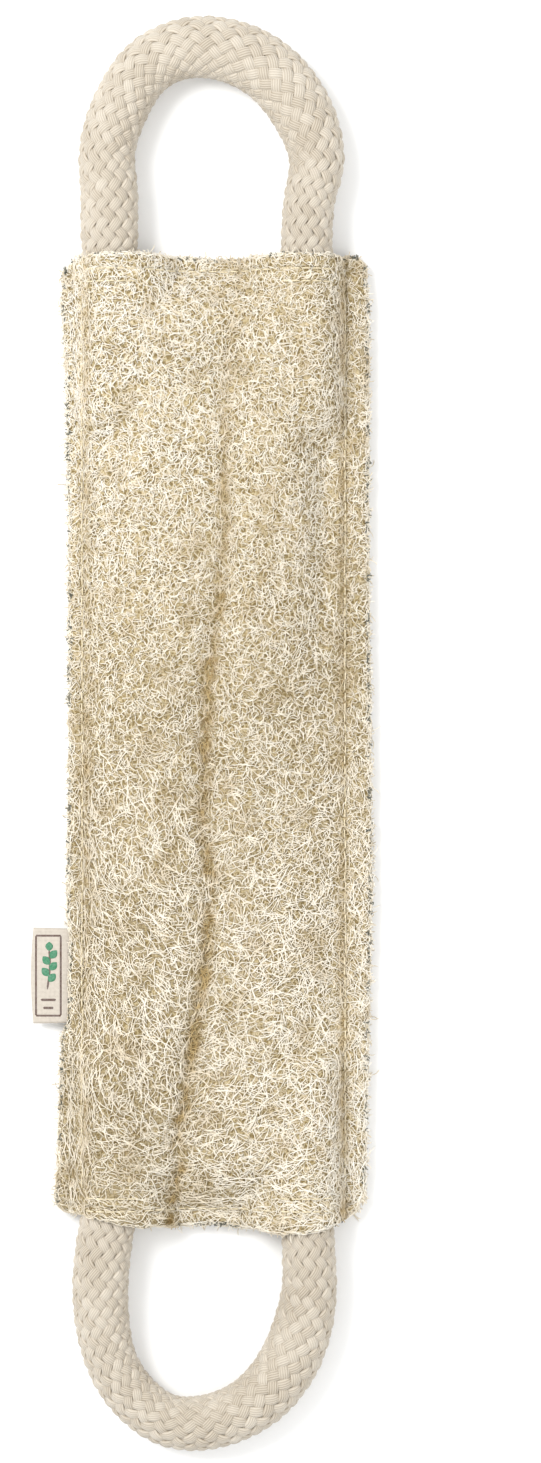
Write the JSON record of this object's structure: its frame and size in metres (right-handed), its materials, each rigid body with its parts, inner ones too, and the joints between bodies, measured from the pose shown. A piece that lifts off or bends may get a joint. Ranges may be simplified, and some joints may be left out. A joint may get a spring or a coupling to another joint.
{
  "type": "loofah back scrubber",
  "caption": "Long flat loofah pad of two stitched fibre panels with a thick braided cotton rope loop handle sewn into each end and a folded side label, for scrubbing the back.",
  "frame": {"origin": "centre of the pad's flat back face, the face it rests on", "axes": "+X across the pad, away from the label; +Y along the pad towards the top handle; +Z out of the front panel"},
  "size_m": [0.1087, 0.4614, 0.0236],
  "materials": {
    "loofah": "matte open mesh of dry plant fibre",
    "rope_cotton": "matte braided cotton, undyed",
    "filler_cotton": "matte loose cotton filler yarns",
    "sewing_thread": "matte cotton thread",
    "canvas": "matte cotton twill with a small printed sprig"
  },
  "bodies": {
    "pad": {"back_loofah_panel": "loofah", "bottom_left_rope_tack": "sewing_thread", "bottom_left_tail_core": "filler_cotton", "bottom_left_tail_sheath": "rope_cotton", "bottom_left_whipping": "sewing_thread", "bottom_right_rope_tack": "sewing_thread", "bottom_right_tail_core": "filler_cotton", "bottom_right_tail_sheath": "rope_cotton", "bottom_right_whipping": "sewing_thread", "bottom_seam_bobbin_thread": "sewing_thread", "bottom_seam_needle_thread": "sewing_thread", "front_loofah_panel": "loofah", "label_tail": "canvas", "left_seam_bobbin_thread": "sewing_thread", "left_seam_needle_thread": "sewing_thread", "right_seam_bobbin_thread": "sewing_thread", "right_seam_needle_thread": "sewing_thread", "top_left_rope_tack": "sewing_thread", "top_left_tail_core": "filler_cotton", "top_left_tail_sheath": "rope_cotton", "top_left_whipping": "sewing_thread", "top_right_rope_tack": "sewing_thread", "top_right_tail_core": "filler_cotton", "top_right_tail_sheath": "rope_cotton", "top_right_whipping": "sewing_thread", "top_seam_bobbin_thread": "sewing_thread", "top_seam_needle_thread": "sewing_thread"},
    "top_handle": {"top_rope_sheath": "rope_cotton", "top_rope_core": "filler_cotton"},
    "bottom_handle": {"bottom_rope_sheath": "rope_cotton", "bottom_rope_core": "filler_cotton"},
    "label": {"label_flap": "canvas"}
  },
  "joints": [
    {"name": "top_handle_swing", "type": "hinge", "parent": "pad", "child": "top_handle", "pos_m": [0, 0.166, 0.012], "axis": [1, 0, 0], "range_deg": [-90, 90]},
    {"name": "bottom_handle_swing", "type": "hinge", "parent": "pad", "child": "bottom_handle", "pos_m": [0, -0.166, 0.012], "axis": [-1, 0, 0], "range_deg": [-90, 90]},
    {"name": "label_bend", "type": "hinge", "parent": "pad", "child": "label", "pos_m": [-0.0498, -0.0761, 0.00505], "axis": [0, 1, 0], "range_deg": [-90, 90], "stiffness_Nm_per_rad": 0.001}
  ]
}
